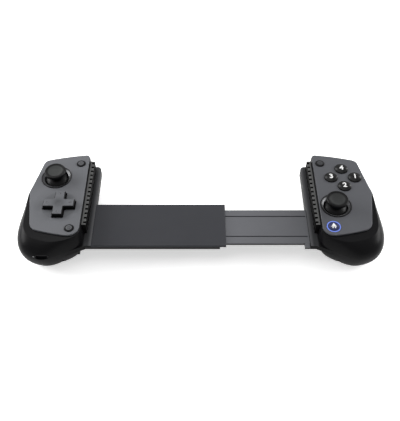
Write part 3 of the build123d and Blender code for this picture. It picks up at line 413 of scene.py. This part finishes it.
wears = {}
for word in ("left", "right"):
    wears.update({
        f"{word}_face_plate": "plate" + word.capitalize(), f"{word}_front_shell": "frontBlack",
        f"{word}_rear_shell": "rearBlack", f"{word}_phone_pad": "combGreyTopShadedSides",
        f"{word}_stick_ring": word + "Ring", f"{word}_stick_frame": "steel",
        f"{word}_stick_cradle": "caseBlack", f"{word}_stick_shaft": "caseBlack",
        f"{word}_stick_cap": word + "Stick", f"{word}_main_board": "boardGreen",
        f"{word}_button_board": "boardGreen", f"{word}_top_button": f"{word}_top_buttonFace",
        f"{word}_bumper": "frontBlack", f"{word}_trigger": "caseBlack",
        f"{word}_trigger_pin": "steel", f"{word}_trigger_spring": "steel",
        f"{word}_screws": "steel",
    })
wears.update({
    "dpad": "dpadGrey", "dpad_pivot": "caseBlack", "dpad_mat": "matRubber",
    "left_bottom_button": "left_bottom_buttonFace", "battery": "cellFoil",
    "charge_port": "portMetal", "charge_light": "lampClear",
    "sleeve_cover": "sleeveGrey", "sleeve_tray": "caseBlack",
    "return_springs": "steel", "bridge_ribbon": "cableAmber", "sleeve_screws": "steel",
    "face_button_mat": "matRubber", "home_button": "navyGloss", "home_light_ring": "glowBlue",
    "slide_plate": "slideMetal", "slide_base": "caseBlack", "slide_screws": "steel",
})
for number in range(1, 5):
    wears[f"face_button_{number}"] = "buttonBlack"


def wear(piece, name):
    piece.data.materials.clear()
    piece.data.materials.append(materials[name])


for node, name in wears.items():
    wear(nodes[node], name)
print("finishes made:", len(materials))


# Modelling helpers

joining = {"weld": 0.001, "smooth": 35}    # merging distance in mm, smoothing angle in degrees


def clearSelection():
    if bpy.context.mode != "OBJECT":
        bpy.ops.object.mode_set(mode="OBJECT")
    bpy.ops.object.select_all(action="DESELECT")


def applyAll(piece):
    clearSelection()
    piece.select_set(True)
    bpy.context.view_layer.objects.active = piece
    for modifier in list(piece.modifiers):
        bpy.ops.object.modifier_apply(modifier=modifier.name)


def joinPieces(pieces):
    clearSelection()
    for piece in pieces:
        piece.select_set(True)
    bpy.context.view_layer.objects.active = pieces[0]
    bpy.ops.object.join()
    return bpy.context.active_object


def settle(piece, name, body, finish):
    # puts a finished piece's place into its mesh, and gives it its name and finish
    # a piece that stretches between two bodies has none here
    clearSelection()
    piece.select_set(True)
    bpy.context.view_layer.objects.active = piece
    bpy.ops.object.transform_apply(location=True, rotation=True, scale=True)
    bpy.ops.object.mode_set(mode="EDIT")
    bpy.ops.mesh.select_all(action="SELECT")
    bpy.ops.mesh.remove_doubles(threshold=joining["weld"] * mm)
    bpy.ops.mesh.normals_make_consistent(inside=False)
    bpy.ops.object.mode_set(mode="OBJECT")
    bpy.ops.object.shade_smooth_by_angle(angle=radians(joining["smooth"]))
    piece.name = piece.data.name = name
    wear(piece, finish)
    if body:
        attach(piece, body)
    return piece


# Marks on the buttons: plain numbers and simple signs

mark = {"thick": 0.30, "proud": 0.06, "corner": 0.04}
numberSign = {"size": 6.0, "bolder": 0.16}
barSign = {"step": 0.85, "long": 2.4, "wide": 0.4}
squareSign = {"reach": 0.9, "long": 2.2, "wide": 0.4}
ringSign = {"radius": 1.1, "wire": 0.2, "around": 40, "section": 8, "dot": 0.5}
houseSign = {"roof": 2.3, "roofUp": 0.35,
             "wallOut": 0.85, "wallDown": 1.1, "wallWide": 0.95, "wallTall": 1.9}


def markPlace(node):
    # on the button's middle, so deep in its top that it stands a little proud
    centre, top = middleOf(node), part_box(node)[1].z
    return centre.x, centre.y, top + (mark["proud"] - mark["thick"] / 2) * mm


def printNumber(number):
    node = f"face_button_{number}"
    clearSelection()
    bpy.ops.object.text_add(location=markPlace(node))
    text = bpy.context.active_object
    text.data.body = str(number)
    text.data.size = numberSign["size"] * mm
    text.data.align_x, text.data.align_y = "CENTER", "CENTER"
    text.data.extrude = mark["thick"] / 2 * mm
    text.data.offset = numberSign["bolder"] * mm
    bpy.ops.object.convert(target="MESH")
    settle(bpy.context.active_object, f"number_{number}", node, "printWhite")


def addBar(x, y, z, sizeX, sizeY):
    clearSelection()
    bpy.ops.mesh.primitive_cube_add(size=1, location=(x, y, z))
    bar = bpy.context.active_object
    bar.scale = (sizeX * mm, sizeY * mm, mark["thick"] * mm)
    bpy.ops.object.transform_apply(location=False, rotation=False, scale=True)
    bar.modifiers.new("round", "BEVEL").width = mark["corner"] * mm
    applyAll(bar)
    return bar


def markBars():
    # three short bars
    x, y, z = markPlace("right_top_button")
    bars = [addBar(x, y + step * barSign["step"] * mm, z, barSign["long"], barSign["wide"])
            for step in (-1, 0, 1)]
    settle(joinPieces(bars), "mark_right_top", "right_top_button", "printGrey")


def markSquare():
    # a small open square
    x, y, z = markPlace("left_top_button")
    reach, long, wide = squareSign["reach"] * mm, squareSign["long"], squareSign["wide"]
    bars = [addBar(x, y + side * reach, z, long, wide) for side in (-1, 1)]
    bars += [addBar(x + side * reach, y, z, wide, long) for side in (-1, 1)]
    settle(joinPieces(bars), "mark_left_top", "left_top_button", "printGrey")


def markRing():
    # a ring with a dot in it
    x, y, z = markPlace("left_bottom_button")
    clearSelection()
    bpy.ops.mesh.primitive_torus_add(
        location=(x, y, z),
        major_radius=ringSign["radius"] * mm, minor_radius=ringSign["wire"] * mm,
        major_segments=ringSign["around"], minor_segments=ringSign["section"])
    ring = bpy.context.active_object
    dot = addBar(x, y, z, ringSign["dot"], ringSign["dot"])
    settle(joinPieces([ring, dot]), "mark_left_bottom", "left_bottom_button",
           "printGrey")


def markHouse():
    # a plain house for the home button
    x, y, z = markPlace("home_button")
    clearSelection()
    bpy.ops.mesh.primitive_cylinder_add(
        vertices=3, radius=houseSign["roof"] * mm, depth=mark["thick"] * mm,
        location=(x, y + houseSign["roofUp"] * mm, z))
    parts = [bpy.context.active_object]
    for side in (-1, 1):
        parts.append(addBar(x + side * houseSign["wallOut"] * mm, y - houseSign["wallDown"] * mm, z,
                            houseSign["wallWide"], houseSign["wallTall"]))
    settle(joinPieces(parts), "mark_home", "home_button", "printWhite")


for number in range(1, 5):
    printNumber(number)
markBars()
markSquare()
markRing()
markHouse()
print("marks printed")


# Wound springs: two long ones in the bridge, one short one in each trigger

longSpring = {"wire": 0.5, "pitch": 1.05, "steps": 12, "sides": 6}
shortSpring = {"wire": 0.45, "pitch": 0.55, "steps": 20, "sides": 8, "inset": 0.3}


def windCoil(look, start, end, radius, y, z):
    # the wire's round section, wound about the X axis, with both ends closed
    turns = int((end - start) / (look["pitch"] * mm))
    clearSelection()
    bpy.ops.mesh.primitive_circle_add(vertices=look["sides"], radius=look["wire"] / 2 * mm,
                                      rotation=(radians(90), 0, 0), location=(0, 0, radius * mm))
    coil = bpy.context.active_object
    bpy.ops.object.transform_apply(location=True, rotation=True, scale=True)
    screw = coil.modifiers.new("wind", "SCREW")
    screw.axis = "X"
    screw.angle = 2 * pi
    screw.iterations = turns
    screw.steps = screw.render_steps = look["steps"]
    screw.screw_offset = (end - start) / turns
    applyAll(coil)
    coil.location = (start, y, z)
    bpy.ops.object.mode_set(mode="EDIT")
    bpy.ops.mesh.select_all(action="SELECT")
    bpy.ops.mesh.remove_doubles(threshold=joining["weld"] * mm)
    bpy.ops.mesh.fill_holes(sides=look["sides"])
    bpy.ops.object.mode_set(mode="OBJECT")
    return coil


def makeReturnSprings():
    low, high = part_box("return_springs")
    reach = (high.z - low.z) / 2
    z = (low.z + high.z) / 2
    coils = [windCoil(longSpring, low.x, high.x, reach / mm - longSpring["wire"] / 2, y, z)
             for y in (low.y + reach, high.y - reach)]
    springs = settle(joinPieces(coils), "bridge_springs", None, "steel")
    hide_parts("return_springs")
    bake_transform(springs)


def makeTriggerSpring(word):
    node = f"{word}_trigger_spring"
    low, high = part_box(node)
    centre, inset = middleOf(node), shortSpring["inset"] * mm
    radius = (high.z - low.z) / 2 / mm - shortSpring["wire"] / 2
    coil = windCoil(shortSpring, low.x + inset, high.x - inset, radius, centre.y, centre.z)
    spring = settle(coil, f"{word}_wound_spring", f"{word}_half", "steel")
    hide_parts(node)


makeReturnSprings()
for word in ("left", "right"):
    makeTriggerSpring(word)
print("springs wound")


# Flat cable: soft pleats in the sleeve, then a straight run in the slide

pleats = {
    "pitch": 8.0, "height": 2.6, "steps": 16, "thick": 0.22,
    "sunk": 0.25,    # the straight run's depth under the slide's top
    "held": 2.0,     # the end that stays with the left half
}


def makeRibbon():
    low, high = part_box("bridge_ribbon")
    slideLow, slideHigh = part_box("slide_base")
    slideZ = slideHigh.z - pleats["sunk"] * mm
    pitch = pleats["pitch"] * mm
    middle = low.z + (pleats["height"] / 2 + pleats["thick"]) * mm
    pleatEnd = slideLow.x - pitch / 2
    length = high.x - low.x
    columns = int(length / pitch * pleats["steps"])
    clearSelection()
    bpy.ops.mesh.primitive_grid_add(x_subdivisions=columns, y_subdivisions=1, size=1,
                                    location=((low.x + high.x) / 2, (low.y + high.y) / 2, 0))
    strip = bpy.context.active_object
    strip.scale = (length, high.y - low.y, 1)
    bpy.ops.object.transform_apply(location=True, rotation=True, scale=True)
    for vertex in strip.data.vertices:
        x = vertex.co.x
        swing = cos(2 * pi * (x - low.x) / pitch) * pleats["height"] / 2 * mm
        rise = min(1, max(0, (x - pleatEnd) / (slideLow.x - pleatEnd)))
        vertex.co.z = (middle + swing) * (1 - rise) + slideZ * rise
    wall = strip.modifiers.new("wall", "SOLIDIFY")
    wall.thickness = pleats["thick"] * mm
    wall.offset = 0
    applyAll(strip)
    ribbon = settle(strip, "flat_cable", None, "cableAmber")
    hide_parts("bridge_ribbon")
    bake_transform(ribbon)


makeRibbon()
print("flat cable laid")
